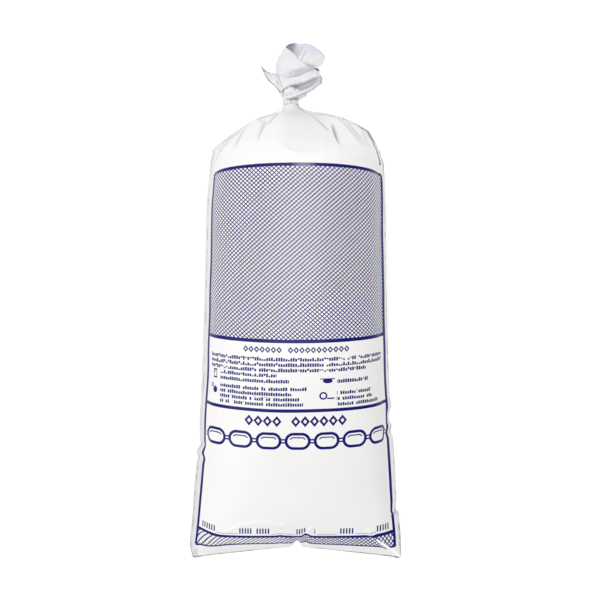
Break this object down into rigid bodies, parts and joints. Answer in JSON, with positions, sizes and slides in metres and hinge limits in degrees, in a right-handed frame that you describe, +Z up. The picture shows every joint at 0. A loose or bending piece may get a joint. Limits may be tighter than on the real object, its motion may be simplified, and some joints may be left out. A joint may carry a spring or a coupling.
{
  "type": "sausage meat pack",
  "caption": "Film bag of sausage meat: flat sealed at one end, gathered, tied and crumpled at the other, lying on its back.",
  "frame": {"origin": "on the floor under the middle of the pack's bounding box", "axes": "+Y from the sealed end to the tied neck, +Z up through the printed side, +X to the right seen from above"},
  "size_m": [0.127, 0.301, 0.0555],
  "materials": {
    "film": "glossy opaque white film with navy print",
    "tie": "pale glossy plastic band"
  },
  "bodies": {
    "root": {"bag": "film", "neck_tie": "tie"}
  },
  "joints": []
}
